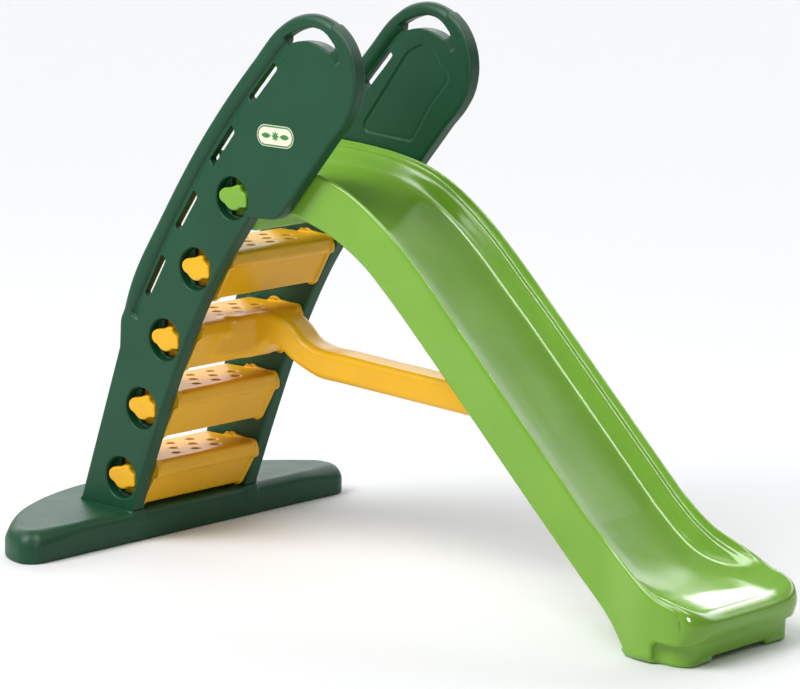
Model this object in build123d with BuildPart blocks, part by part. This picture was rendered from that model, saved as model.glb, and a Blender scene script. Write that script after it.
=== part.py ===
"""Folding toddler slide: blow-moulded ladder sides on a wide foot, hollow steps and one moulded chute.

Millimetres, +Z up. +X runs from the ladder towards the chute's exit and Y is the width, with the
middle of the slide at y = 0. Side profiles are drawn in X and Z, with X counted from the ladder's
front foot, and ORIGIN_X moves the row's origin to the middle of the whole slide's box.
"""

from build123d import *

import os

# --- driving dimensions -------------------------------------------------------------------------
ORIGIN_X = 765.94
INNER_HALF = 200.5
PANEL_THICK = 45.0
OUTER_HALF = INNER_HALF + PANEL_THICK
WALL = 4.0
EDGE_ROUND = 10.0
VOID_INSET = 8.0

# The outline of a ladder side, clockwise from the heel of the stile. The handrail and the hoop are one
# curve from the waist to the top of the paddle, and the front is another, from the paddle's foot.
PANEL_OUTLINE = [
    (-225, 88), (-70, 540), (-66, 622), (-40, 702), (93, 932), (256, 1169), (428, 1370), (520, 1464),
    (575, 1495), (640, 1506), (705, 1489), (757, 1449), (787, 1396), (796, 1335), (783, 1275),
    (752, 1225), (710, 1180), (522, 957), (422, 952), (270, 739), (150, 510), (62, 298), (-18, 88),
]
WAIST = 2
PADDLE_TOP = 16
PADDLE_FOOT = 18

FOOT_HEIGHT = 88.0
FOOT_FRONT = -14.0
FOOT_BACK = -385.0
FOOT_HALF = 628.0
FOOT_BOW_RADIUS = 880.0
FOOT_TOP_ROUND = 24.0
FOOT_FRONT_CORNER = 62.0
FOOT_BACK_CORNER = 70.0

# The five seats in each ladder side, from the lowest step up to the chute's pivot.
SEATS = [(-63.0, 175.0), (16.0, 381.0), (105.0, 583.0), (221.0, 791.0), (359.0, 997.0)]
SEAT_RADIUS = 58.0
SEAT_DEPTH = 30.0
BORE_RADIUS = 35.0
KEYWAY_WIDTH = 57.0
KEYWAY_HEIGHT = 100.0

# The hand groove runs midway between these points, up the rail and round under the hoop.
GROOVE_PATH = [
    (-3, 642), (18, 682), (143, 899), (302, 1131), (468, 1324), (560, 1417), (640, 1450),
    (705, 1418), (733, 1368),
]
GROOVE_WIDTH = 38.0
GROOVE_DEPTH = 9.0
# The openings through the groove, each with its path and its width: four slots and the handle.
OPENINGS = [
    ([(38, 709), (87, 794)], 34.0),
    ([(154, 905), (208, 983)], 34.0),
    ([(285, 1097), (345, 1171)], 34.0),
    ([(427, 1275), (496, 1351)], 34.0),
    ([(600, 1437), (643, 1452), (698, 1424)], 36.0),
]
FIELD_CORNERS = [
    (400, 1140), (575, 1372), (625, 1394), (668, 1384), (694, 1345), (736, 1318), (660, 1230), (595, 1128),
]
FIELD_DEPTH = 2.5

STEP_HALF = 198.0
END_PLATE = 12.0
DIMPLE_RADIUS = 17.0
DIMPLE_DEPTH = 2.5
DIMPLE_PITCH = 77.0
DIMPLE_ROWS = [(-53.0, 3), (-3.0, 4), (47.0, 3)]
TREAD_TOP = 52.0
STEP_DEPTH = 92.0
PLATE_LOBE = 20.0
LUG_OUTLINE = [
    (-51, -3), (-50, 13), (-38, 23), (-13, 28), (27, 34), (31, 25), (39, 18), (47, 13), (50, -1),
    (48, -19), (27, -22), (9, -31), (-6, -32), (-22, -25), (-31, -17), (-44, -12),
]
NECK_RADIUS = BORE_RADIUS - 0.08
NECK_BORE = 26.0
LUG_START = OUTER_HALF - SEAT_DEPTH + 0.5
LUG_END = OUTER_HALF - 2.5

BRACE_SEAT = SEATS[2]
PIVOT = SEATS[4]

BRACE_HALF = 45.0
BRACE_ROUND = 16.0
BRACE_WALL = 5.0
# The brace clockwise: over the gooseneck to the upper corner of its tip, then back along its belly.
BRACE_NECK = [
    (140, 625), (200, 637), (262, 655), (305, 660), (350, 653), (390, 630), (425, 599), (470, 583),
    (560, 578), (1211, 549),
]
BRACE_BELLY = [
    (1300, 463), (560, 498), (476, 503), (414, 523), (377, 539), (349, 557), (308, 573), (270, 548),
    (232, 526), (180, 520), (140, 520),
]

CHUTE_HALF = 199.0
CHUTE_WALL = 5.0
# Half widths of the channel at the bed, at the shoulder and at the rim, and how far each is above the bed.
CHANNEL_LEVELS = [(147.0, 0.0), (162.0, 24.0), (173.0, 49.0)]
BELLY_HALF = 141.0
# The chute's side outline, clockwise, and the bed below the channel, both in runs between straight parts.
SLOPE = (0.719, -0.695)
PLATFORM_RIM = [
    (258, 1113), (345, 1113), (461, 1107), (553, 1097), (645, 1079), (718, 1054), (779, 1023),
    (843, 982), (896, 942), (953, 893), (1016, 835), (1109, 745),
]
EXIT_RIM = [
    (1540, 329), (1595, 286), (1645, 249), (1690, 224), (1735, 203), (1796, 179), (1850, 166),
    (1888, 148), (1912.3, 124), (1916.3, 98), (1893, 64),
]
NOSE_FOOT = [(1868, 56), (1868, 14), (1852, 0), (1690, 0), (1658, 19)]
HEM = [
    (1632, 68), (1600, 99), (1518, 174), (1390, 295), (1156, 520), (1002, 668), (849, 808), (799, 850),
    (723, 898), (658, 928), (566, 956), (450, 975),
]
BEAM = [(425, 966), (399, 909), (305, 909), (272, 985), (258, 1030)]
PLATFORM_BED = [
    (200, 1048), (345, 1048), (461, 1043), (545, 1034), (628, 1016), (692, 994), (749, 963),
    (806, 925), (857, 886), (911, 840), (972, 783), (1065, 698),
]
EXIT_BED = [(1497, 280.5), (1572, 218), (1640, 177), (1700, 151), (1755, 139), (1810, 135), (1867, 137)]
SKY = [(2000, 137), (2000, 1400), (200, 1400)]
# The sides run parallel down to FLARE_START and flare out to the nose, which is NOSE_HALF each way.
FLARE_START = 1590.0
FLARE_END = 1785.0
NOSE_HALF = 240.0
NOSE_FRONT = 1918.0
NOSE_BOW = 18.0
NOSE_CORNER = 75.0
FEET_GAP_HALF = 112.0
MOUTH_END = 2100.0
BELLY_CENTRE = (1010.0, 500.0)
BELLY_LENGTH = 1150.0
BELLY_HEIGHT = 1200.0

TONGUE_LENGTH = 140.0
TONGUE_THICK = 28.0
TONGUE_DEPTH = 34.0
TONGUE_X = -118.0
SOCKET_GAP = 0.4
SOCKET_WALL = 5.0
SOCKET_FLOOR = 6.0
SCREW_SPACING = 90.0
SCREW_RADIUS = 3.0
SCREW_HOLE = 3.1
SCREW_HEAD_RADIUS = 7.0
SCREW_HEAD_HEIGHT = 4.0
SCREW_LENGTH = 28.0

BADGE_CENTRE = (517.0, 1178.0)
BADGE_LENGTH = 132.0
BADGE_HEIGHT = 58.0
BADGE_THICK = 1.0

tongue_y = INNER_HALF + PANEL_THICK / 2
socket_floor = FOOT_HEIGHT - TONGUE_DEPTH - SOCKET_GAP
socket_ceiling = socket_floor - SOCKET_FLOOR


# --- planes and shared outlines -----------------------------------------------------------------
def side_plane(y):
    """The plane of a side profile at width y. Extruding a positive amount goes towards -Y."""
    return Plane(origin=(-ORIGIN_X, y, 0), x_dir=(1, 0, 0), z_dir=(0, -1, 0))


def plan_plane(z):
    """The horizontal plane at height z, with X counted from the ladder's front foot."""
    return Plane(origin=(-ORIGIN_X, 0, z), x_dir=(1, 0, 0), z_dir=(0, 0, 1))


def round_corner(outline, corner, radius):
    """Rounds the corner of an outline that lies nearest to a point."""
    fillet(outline.vertices().sort_by_distance((corner[0], corner[1], 0))[0], radius=radius)


def pulled_in(points, distance):
    """A closed clockwise outline's points, moved inwards so that each side keeps the distance."""
    moved = []
    for place, (x, z) in enumerate(points):
        before = points[place - 1]
        after = points[(place + 1) % len(points)]
        arriving = Vector(x - before[0], z - before[1]).normalized()
        leaving = Vector(after[0] - x, after[1] - z).normalized()
        reach = distance / (1 + arriving.dot(leaving))
        moved.append((x + (arriving.Y + leaving.Y) * reach, z - (arriving.X + leaving.X) * reach))
    return moved


def draw_panel(inset):
    """One ladder side: a leaning stile, the waist, the handrail, the hoop, the paddle and the front."""
    points = pulled_in(PANEL_OUTLINE, inset)
    Polyline(points[: WAIST + 1])
    Spline(points[WAIST : PADDLE_TOP + 1])
    Polyline(points[PADDLE_TOP : PADDLE_FOOT + 1])
    Spline(points[PADDLE_FOOT:])
    Line(points[-1], points[0])


def round_panel(outline):
    """Rounds the two corners where the paddle meets the front of the stile."""
    round_corner(outline, (522, 957), 55)
    round_corner(outline, (422, 952), 12)


def beside(points, distance):
    """The points of an open path, each moved square to the path, to its left for a positive distance."""
    moved = []
    for place, (x, z) in enumerate(points):
        before = points[max(place - 1, 0)]
        after = points[min(place + 1, len(points) - 1)]
        along = Vector(after[0] - before[0], after[1] - before[1]).normalized()
        moved.append((x - along.Y * distance, z + along.X * distance))
    return moved


def draw_band(points, width):
    """A band of even width along a path, with round ends."""
    left = beside(points, width / 2)
    right = beside(points, -width / 2)
    start = beside([right[0], left[0]], width / 2)
    end = beside([left[-1], right[-1]], width / 2)
    Spline(left)
    Spline(right)
    ThreePointArc(left[0], ((start[0][0] + start[1][0]) / 2, (start[0][1] + start[1][1]) / 2), right[0])
    ThreePointArc(left[-1], ((end[0][0] + end[1][0]) / 2, (end[0][1] + end[1][1]) / 2), right[-1])


def draw_screw_pattern(radius):
    """Two screw circles at each ladder side."""
    with Locations((TONGUE_X, -tongue_y), (TONGUE_X, tongue_y)):
        with GridLocations(SCREW_SPACING, 1, 2, 1):
            Circle(radius)


def draw_socket_pattern(margin):
    """The rectangle of a tongue at each ladder side, grown by a margin."""
    with Locations((TONGUE_X, -tongue_y), (TONGUE_X, tongue_y)):
        Rectangle(TONGUE_LENGTH + 2 * margin, TONGUE_THICK + 2 * margin)


def foot_end():
    """Where the bow of the foot's back edge reaches its widest point, as X."""
    return FOOT_BACK + FOOT_BOW_RADIUS - (FOOT_BOW_RADIUS**2 - FOOT_HALF**2) ** 0.5


def draw_foot():
    """The foot in plan: straight in front and bowed behind."""
    Line((FOOT_FRONT, -FOOT_HALF), (FOOT_FRONT, FOOT_HALF))
    Line((FOOT_FRONT, FOOT_HALF), (foot_end(), FOOT_HALF))
    ThreePointArc((foot_end(), FOOT_HALF), (FOOT_BACK, 0), (foot_end(), -FOOT_HALF))
    Line((foot_end(), -FOOT_HALF), (FOOT_FRONT, -FOOT_HALF))


def round_foot(outline):
    """Rounds the ends of the foot's plan to a bullet shape."""
    for end in (-FOOT_HALF, FOOT_HALF):
        round_corner(outline, (FOOT_FRONT, end), FOOT_FRONT_CORNER)
        round_corner(outline, (foot_end(), end), FOOT_BACK_CORNER)


# --- ladder sides -------------------------------------------------------------------------------
def make_panel(side):
    """A hollow ladder side: side 1 at +Y and side -1 at -Y. The seats open in its outer face."""
    outer = side * OUTER_HALF
    inner = side * INNER_HALF
    top = max(outer, inner)
    void_top = max(outer - side * WALL, inner + side * (WALL + FIELD_DEPTH))
    with BuildPart() as panel:
        with BuildSketch(side_plane(top)) as face:
            with BuildLine():
                draw_panel(0)
            make_face()
            round_panel(face)
        extrude(amount=PANEL_THICK)
        rims = panel.faces().filter_by(Axis.Y).edges()
        fillet(rims.filter_by(lambda edge: edge.center().Z > FOOT_HEIGHT + 1), radius=EDGE_ROUND)

        # The hollow inside keeps clear of the seats, the groove and the slots.
        with BuildSketch(side_plane(void_top)) as hollow:
            with BuildLine():
                draw_panel(VOID_INSET)
            make_face()
            round_panel(hollow)
            with Locations(*SEATS):
                Circle(SEAT_RADIUS + WALL, mode=Mode.SUBTRACT)
            for path, width in [(GROOVE_PATH, GROOVE_WIDTH)] + OPENINGS:
                with BuildLine():
                    draw_band(path, width + 2 * WALL)
                make_face(mode=Mode.SUBTRACT)
        extrude(amount=PANEL_THICK - 2 * WALL - FIELD_DEPTH, mode=Mode.SUBTRACT)

        # The rail is set off by a shallow groove in both faces, with slots and a handle right through.
        for groove_top in (OUTER_HALF * side, INNER_HALF * side):
            with BuildSketch(side_plane(groove_top)):
                with BuildLine():
                    draw_band(GROOVE_PATH, GROOVE_WIDTH)
                make_face()
            extrude(amount=GROOVE_DEPTH, both=True, mode=Mode.SUBTRACT)
        with BuildSketch(side_plane(top)):
            for path, width in OPENINGS:
                with BuildLine():
                    draw_band(path, width)
                make_face()
        extrude(amount=PANEL_THICK, mode=Mode.SUBTRACT)

        # A shallow sunk field on the face towards the child.
        with BuildSketch(side_plane(inner)) as field:
            with BuildLine():
                Polyline(*FIELD_CORNERS, close=True)
            make_face()
            fillet(field.vertices(), radius=12)
        extrude(amount=FIELD_DEPTH, both=True, mode=Mode.SUBTRACT)

        # Each seat is a round well in the outer face with a keyed bore through its floor.
        with BuildSketch(side_plane(outer)):
            with Locations(*SEATS):
                Circle(SEAT_RADIUS)
        extrude(amount=SEAT_DEPTH, both=True, mode=Mode.SUBTRACT)
        with BuildSketch(side_plane(top)):
            with Locations(*SEATS):
                Circle(BORE_RADIUS)
                Rectangle(KEYWAY_WIDTH, KEYWAY_HEIGHT)
        extrude(amount=PANEL_THICK, mode=Mode.SUBTRACT)

        # The tongue under the stile stands in the foot's socket and takes the screws.
        with BuildSketch(plan_plane(FOOT_HEIGHT)):
            with Locations((TONGUE_X, side * tongue_y)):
                Rectangle(TONGUE_LENGTH, TONGUE_THICK)
        extrude(amount=-TONGUE_DEPTH)
        with BuildSketch(plan_plane(socket_ceiling)):
            draw_screw_pattern(SCREW_HOLE)
        extrude(amount=SCREW_LENGTH + 1, mode=Mode.SUBTRACT)
    return panel


# --- foot ---------------------------------------------------------------------------------------
with BuildPart() as foot_core:
    with BuildSketch(plan_plane(WALL)) as core_plan:
        with BuildLine():
            draw_foot()
        make_face()
        round_foot(core_plan)
        offset(amount=-WALL, mode=Mode.REPLACE)
    extrude(amount=FOOT_HEIGHT - 2 * WALL)
    fillet(foot_core.faces().sort_by(Axis.Z)[-1].edges(), radius=FOOT_TOP_ROUND - WALL)
    with BuildSketch(plan_plane(0)):
        draw_socket_pattern(SOCKET_WALL + SOCKET_GAP)
    extrude(amount=FOOT_HEIGHT, mode=Mode.SUBTRACT)

with BuildPart() as base_foot:
    with BuildSketch(plan_plane(0)) as foot_plan:
        with BuildLine():
            draw_foot()
        make_face()
        round_foot(foot_plan)
    extrude(amount=FOOT_HEIGHT)
    fillet(base_foot.faces().sort_by(Axis.Z)[-1].edges(), radius=FOOT_TOP_ROUND)
    # A pad under each ladder side keeps the top flat right up to the front edge.
    with BuildSketch(plan_plane(FOOT_HEIGHT)):
        with Locations((-121, -tongue_y), (-121, tongue_y)):
            Rectangle(214, PANEL_THICK + 6)
    extrude(amount=-FOOT_TOP_ROUND - 6)
    add(foot_core.part, mode=Mode.SUBTRACT)
    with BuildSketch(plan_plane(FOOT_HEIGHT)):
        draw_socket_pattern(SOCKET_GAP)
    extrude(amount=socket_floor - FOOT_HEIGHT, mode=Mode.SUBTRACT)
    with BuildSketch(plan_plane(0)):
        draw_socket_pattern(0)
    extrude(amount=socket_ceiling, mode=Mode.SUBTRACT)
    with BuildSketch(plan_plane(socket_ceiling)):
        draw_screw_pattern(SCREW_HOLE)
    extrude(amount=SOCKET_FLOOR, mode=Mode.SUBTRACT)

with BuildPart() as panel_screws:
    with BuildSketch(plan_plane(socket_ceiling)):
        draw_screw_pattern(SCREW_RADIUS)
    extrude(amount=SCREW_LENGTH)
    with BuildSketch(plan_plane(socket_ceiling)):
        draw_screw_pattern(SCREW_HEAD_RADIUS)
    extrude(amount=-SCREW_HEAD_HEIGHT)
    chamfer(panel_screws.faces().group_by(Axis.Z)[0].edges(), length=1.2)


# --- steps --------------------------------------------------------------------------------------
def body_depth(seat):
    """How far a step's body reaches below its seat: the lowest step stops just above the foot."""
    return min(STEP_DEPTH, seat[1] - FOOT_HEIGHT - 1)


def draw_step(seat, inset):
    """The section of a step: a tread with a lip in front, over a body that narrows downwards."""
    x, z = seat
    depth = body_depth(seat)
    roof = TREAD_TOP - inset * 1.75
    Polyline(
        (x - 108 + inset, z + roof),
        (x + 95 - inset, z + roof),
        (x + 95 - inset, z + 8 + inset),
        (x + 77 - inset, z + 4 + inset / 2),
        (x + 26 - inset, z - depth + inset),
        (x - 60 + inset, z - depth + inset),
        (x - 108 + inset, z + 10 + inset / 2),
        close=True,
    )


def round_step(section, seat, inset):
    """Rounds the lips and the lower edges of a step's section."""
    x, z = seat
    depth = body_depth(seat)
    roof = TREAD_TOP - inset * 1.75
    round_corner(section, (x + 95 - inset, z + roof), 18 - inset)
    round_corner(section, (x + 95 - inset, z + 8 + inset), 14 - inset)
    round_corner(section, (x - 108 + inset, z + roof), 16 - inset)
    round_corner(section, (x + 26 - inset, z - depth + inset), 14 - inset)
    round_corner(section, (x - 60 + inset, z - depth + inset), 14 - inset)


def draw_end_plate(seat):
    """The lobed plate at each end of a step, standing proud of the tread and of the body."""
    x, z = seat
    depth = body_depth(seat)
    Polyline(
        (x - 62, z + 44), (x - 31, z + 47), (x + 22, z + 58), (x + 54, z + 54), (x + 90, z + 54),
        (x + 99, z + 30), (x + 96, z + 8), (x + 80, z + 2), (x + 28, z - depth), (x - 30, z - depth),
        (x - 78, z - 20), close=True,
    )


def lug_pair(seat):
    """Two necks that turn in the bores of the ladder sides, each with its lobed head."""
    with BuildPart() as lugs:
        with BuildSketch(side_plane(0)):
            with Locations(seat):
                Circle(NECK_RADIUS)
        extrude(amount=LUG_START + 1, both=True)
        for end in (LUG_END, -LUG_START):
            with BuildSketch(side_plane(end)):
                with BuildLine():
                    Polyline([(seat[0] + x, seat[1] + z) for x, z in LUG_OUTLINE], close=True)
                make_face()
            extrude(amount=LUG_END - LUG_START)
    return lugs.part


def lug_hollow(seat):
    """The bore that makes the necks and their heads hollow."""
    with BuildPart() as bore:
        with BuildSketch(side_plane(0)):
            with Locations(seat):
                Circle(NECK_BORE)
        extrude(amount=LUG_END - WALL, both=True)
    return bore.part


def step_solid(seat):
    """The outer shape of a step, with its end plates and lugs."""
    with BuildPart() as step:
        with BuildSketch(side_plane(0)) as section:
            with BuildLine():
                draw_step(seat, 0)
            make_face()
            round_step(section, seat, 0)
        extrude(amount=STEP_HALF - 1, both=True)
        for end in (STEP_HALF, END_PLATE - STEP_HALF):
            with BuildSketch(side_plane(end)):
                with BuildLine():
                    draw_end_plate(seat)
                make_face()
                with Locations((seat[0] - 5, seat[1] + 40)):
                    Circle(26)
                with Locations((seat[0], seat[1] - body_depth(seat) + PLATE_LOBE)):
                    Circle(PLATE_LOBE)
            extrude(amount=END_PLATE)
        add(lug_pair(seat))
    return step.part


def step_hollow(seat):
    """What is taken out of a step: its hollow from lug to lug and the dimples of the tread."""
    with BuildPart() as hollow:
        with BuildSketch(side_plane(0)) as section:
            with BuildLine():
                draw_step(seat, WALL)
            make_face()
            round_step(section, seat, WALL)
        extrude(amount=STEP_HALF - WALL, both=True)
        add(lug_hollow(seat))
        with BuildSketch(plan_plane(seat[1] + TREAD_TOP)):
            for row_x, count in DIMPLE_ROWS:
                with Locations((seat[0] + row_x, 0)):
                    with GridLocations(1, DIMPLE_PITCH, 1, count):
                        Circle(DIMPLE_RADIUS)
        extrude(amount=-DIMPLE_DEPTH)
    return hollow.part


def make_step(seat):
    """A plain step."""
    with BuildPart() as step:
        add(step_solid(seat))
        add(step_hollow(seat), mode=Mode.SUBTRACT)
    return step


def draw_brace(inset):
    """The brace from the side: a gooseneck over the step's lip, then a straight run to the chute."""
    points = pulled_in(BRACE_NECK + BRACE_BELLY, inset)
    neck_end = len(BRACE_NECK) - 1
    Spline(points[:neck_end], tangents=((1, 0.1), (1, -0.045)))
    Polyline(points[neck_end - 1 : neck_end + 3])
    Spline(points[neck_end + 2 :], tangents=((-1, 0.05), (-1, 0)))
    Line(points[-1], points[0])


def draw_root(inset):
    """The brace's root in plan, where it widens into the step's riser."""
    half = 108 - inset
    waist = 43 - inset
    front = 228 - inset
    Polyline(
        (140 + 2 * inset, -half), (186 - inset, -half), (front, -waist), (front, waist),
        (186 - inset, half), (140 + 2 * inset, half), close=True,
    )


with BuildPart() as brace_core:
    with BuildSketch(side_plane(0)):
        with BuildLine():
            draw_brace(BRACE_WALL)
        make_face()
    extrude(amount=BRACE_HALF - BRACE_WALL, both=True)
    long_edges = brace_core.faces().filter_by(Axis.Y).edges().filter_by(lambda edge: edge.length > 150)
    fillet(long_edges, radius=BRACE_ROUND - BRACE_WALL)
    with BuildSketch(plan_plane(516 + BRACE_WALL)):
        with BuildLine():
            draw_root(BRACE_WALL)
        make_face()
    extrude(amount=112 - 2 * BRACE_WALL)

with BuildPart() as step_3_brace:
    with BuildSketch(side_plane(0)):
        with BuildLine():
            draw_brace(0)
        make_face()
    extrude(amount=BRACE_HALF, both=True)
    long_edges = step_3_brace.faces().filter_by(Axis.Y).edges().filter_by(lambda edge: edge.length > 150)
    fillet(long_edges, radius=BRACE_ROUND)
    with BuildSketch(plan_plane(516)):
        with BuildLine():
            draw_root(0)
        make_face()
    extrude(amount=112)
    add(step_solid(BRACE_SEAT))
    add(brace_core.part, mode=Mode.SUBTRACT)
    add(step_hollow(BRACE_SEAT), mode=Mode.SUBTRACT)


# --- chute --------------------------------------------------------------------------------------
def draw_chute(inset):
    """The chute from the side, clockwise from the back of the platform's rim."""
    points = pulled_in(PLATFORM_RIM + EXIT_RIM + NOSE_FOOT + HEM + BEAM, inset)
    slope = len(PLATFORM_RIM)
    nose = slope + len(EXIT_RIM)
    hem = nose + len(NOSE_FOOT)
    beam = hem + len(HEM)
    Spline(points[:slope], tangents=((1, 0), SLOPE))
    Line(points[slope - 1], points[slope])
    Spline(points[slope:nose], tangents=(SLOPE, (-0.7, -0.72)))
    Polyline(points[nose - 1 : hem + 1])
    Spline(points[hem:beam], tangents=((-0.7, 0.7), (-1, 0.1)))
    Polyline(points[beam - 1 :] + points[:1])


def draw_channel(lift):
    """Everything above the bed, from behind the platform to beyond the nose, lifted off the bed."""
    points = pulled_in(PLATFORM_BED + EXIT_BED + SKY, -lift)
    slope = len(PLATFORM_BED)
    mouth = slope + len(EXIT_BED)
    Spline(points[:slope], tangents=((1, 0), SLOPE))
    Line(points[slope - 1], points[slope])
    Spline(points[slope:mouth], tangents=(SLOPE, (1, 0.02)))
    Polyline(points[mouth - 1 :] + points[:1])


def draw_flared_sides(inset, front):
    """The chute's two sides and its back from above: parallel, then flaring out to the nose."""
    half = CHUTE_HALF - inset
    wide = NOSE_HALF - inset
    for side in (1, -1):
        Line((front, side * wide), (FLARE_END, side * wide))
        Spline((FLARE_END, side * wide), (FLARE_START, side * half), tangents=((-1, 0), (-1, 0)))
        Line((FLARE_START, side * half), (150, side * half))
    Line((150, half), (150, -half))


def draw_chute_plan(inset):
    """The chute from above: sides that flare at the end and a softly bowed front."""
    wide = NOSE_HALF - inset
    front = NOSE_FRONT - inset
    ThreePointArc((front - NOSE_BOW, -wide), (front, 0), (front - NOSE_BOW, wide))
    draw_flared_sides(inset, front - NOSE_BOW)


def round_nose(outline, inset):
    """Rounds the two front corners of the chute's plan."""
    for end in (-NOSE_HALF, NOSE_HALF):
        round_corner(outline, (NOSE_FRONT, end), NOSE_CORNER - inset)


def channel_level(half, rise, growth):
    """The air above one level of the channel, between walls that flare with the sides."""
    with BuildPart() as air:
        with BuildSketch(side_plane(0)):
            with BuildLine():
                draw_channel(rise - growth)
            make_face()
        extrude(amount=NOSE_HALF, both=True)
        inset = CHUTE_HALF - half - growth
        with BuildSketch(plan_plane(-10)):
            with BuildLine():
                draw_flared_sides(inset, MOUTH_END)
                Line((MOUTH_END, inset - NOSE_HALF), (MOUTH_END, NOSE_HALF - inset))
            make_face()
        extrude(amount=1500, mode=Mode.INTERSECT)
    return air.part


with BuildPart() as chute_core:
    with BuildSketch(side_plane(0)):
        with BuildLine():
            draw_chute(CHUTE_WALL)
        make_face()
    extrude(amount=NOSE_HALF - CHUTE_WALL, both=True)
    for half, rise in CHANNEL_LEVELS:
        add(channel_level(half, rise, CHUTE_WALL), mode=Mode.SUBTRACT)
    with BuildSketch(plan_plane(-10)) as core_outline:
        with BuildLine():
            draw_chute_plan(CHUTE_WALL)
        make_face()
        round_nose(core_outline, CHUTE_WALL)
    extrude(amount=1300, mode=Mode.INTERSECT)
    with BuildSketch(side_plane(0)):
        with Locations(BELLY_CENTRE):
            Rectangle(BELLY_LENGTH + 2 * CHUTE_WALL, BELLY_HEIGHT)
    extrude(amount=BELLY_HALF + CHUTE_WALL, both=True, mode=Mode.SUBTRACT)

with BuildPart() as chute:
    with BuildSketch(side_plane(0)):
        with BuildLine():
            draw_chute(0)
        make_face()
    extrude(amount=NOSE_HALF, both=True)
    for half, rise in CHANNEL_LEVELS:
        add(channel_level(half, rise, 0), mode=Mode.SUBTRACT)
    with BuildSketch(plan_plane(-10)) as outline:
        with BuildLine():
            draw_chute_plan(0)
        make_face()
        round_nose(outline, 0)
    extrude(amount=1300, mode=Mode.INTERSECT)
    # The underside is open between the two skirts, up to the bed's wall.
    with BuildSketch(side_plane(0)):
        with Locations(BELLY_CENTRE):
            Rectangle(BELLY_LENGTH, BELLY_HEIGHT)
        with BuildSketch(mode=Mode.SUBTRACT):
            with BuildLine():
                draw_channel(-CHUTE_WALL)
            make_face()
    extrude(amount=BELLY_HALF, both=True, mode=Mode.SUBTRACT)
    # Between the two feet the nose stands clear of the ground.
    with BuildSketch(side_plane(0)):
        with Locations((1750, 0)):
            Rectangle(260, 24)
    extrude(amount=FEET_GAP_HALF, both=True, mode=Mode.SUBTRACT)
    add(lug_pair(PIVOT))
    add(chute_core.part, mode=Mode.SUBTRACT)
    add(lug_hollow(PIVOT), mode=Mode.SUBTRACT)


# --- badge --------------------------------------------------------------------------------------
with BuildPart() as badge:
    with BuildSketch(side_plane(-OUTER_HALF)):
        with Locations(BADGE_CENTRE):
            RectangleRounded(BADGE_LENGTH, BADGE_HEIGHT, BADGE_HEIGHT / 2 - 1)
    extrude(amount=BADGE_THICK)


# --- export -------------------------------------------------------------------------------------
side_panel_right = make_panel(-1)
side_panel_left = make_panel(1)
step_1 = make_step(SEATS[0])
step_2 = make_step(SEATS[1])
step_4 = make_step(SEATS[3])

NODES = {
    "base_foot": base_foot,
    "side_panel_right": side_panel_right,
    "side_panel_left": side_panel_left,
    "step_1": step_1,
    "step_2": step_2,
    "step_3_brace": step_3_brace,
    "step_4": step_4,
    "chute": chute,
    "badge": badge,
    "panel_screws": panel_screws,
}
os.makedirs("parts", exist_ok=True)
for node, built in NODES.items():
    built.part.label = node
    export_step(built.part, "parts/" + node + ".step")
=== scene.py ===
import math

import bpy
import numpy as np
from mathutils import Matrix, Vector


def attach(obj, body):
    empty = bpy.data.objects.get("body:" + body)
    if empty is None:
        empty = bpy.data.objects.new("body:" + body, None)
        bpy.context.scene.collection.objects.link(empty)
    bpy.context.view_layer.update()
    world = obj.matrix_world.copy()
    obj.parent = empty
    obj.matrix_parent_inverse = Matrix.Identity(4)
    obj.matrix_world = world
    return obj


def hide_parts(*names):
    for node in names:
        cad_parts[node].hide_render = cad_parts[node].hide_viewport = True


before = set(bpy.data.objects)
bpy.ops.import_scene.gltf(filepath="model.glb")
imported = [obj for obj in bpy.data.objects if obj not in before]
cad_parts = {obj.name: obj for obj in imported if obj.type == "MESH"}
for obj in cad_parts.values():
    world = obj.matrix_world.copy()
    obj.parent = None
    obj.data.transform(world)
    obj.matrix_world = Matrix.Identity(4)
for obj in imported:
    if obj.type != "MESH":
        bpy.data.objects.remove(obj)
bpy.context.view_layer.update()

# Shapes are drawn in millimetres, with X counted from the ladder's front foot, and moved by ORIGIN_X.
# SEATS are the middles of the five seats in a ladder side, from the lowest step to the platform.
ORIGIN_X = 765.94
INNER_HALF = 200.5
PANEL_THICK = 45.0
OUTER_HALF = INNER_HALF + PANEL_THICK
PANEL_MIDDLE = INNER_HALF + PANEL_THICK / 2
SEATS = [(-63.0, 175.0), (16.0, 381.0), (105.0, 583.0), (221.0, 791.0), (359.0, 997.0)]
FOOT_HEIGHT = 88.0


# --- outlines -----------------------------------------------------------------------------------
def curve(points, spacing=9.0):
    """Points along a smooth line through the given points, both ends among them."""
    points = np.array(points, float)
    steps = np.diff(points, axis=0)
    lengths = np.hypot(steps[:, 0], steps[:, 1])
    slopes = steps / lengths[:, None]
    tangents = np.vstack([slopes[:1], slopes[:-1], slopes[-1:]])[: len(points)]
    before, after = lengths[:-1, None], lengths[1:, None]
    tangents[1:-1] = (slopes[:-1] * after + slopes[1:] * before) / (before + after)
    tangents[-1] = slopes[-1]
    line = []
    for place, length in enumerate(lengths):
        count = max(2, int(length / spacing))
        t = (np.arange(count) / count)[:, None]
        line.append(
            points[place] * (2 * t**3 - 3 * t**2 + 1)
            + tangents[place] * length * (t**3 - 2 * t**2 + t)
            + points[place + 1] * (3 * t**2 - 2 * t**3)
            + tangents[place + 1] * length * (t**3 - t**2)
        )
    return np.vstack(line + [points[-1:]])


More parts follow.
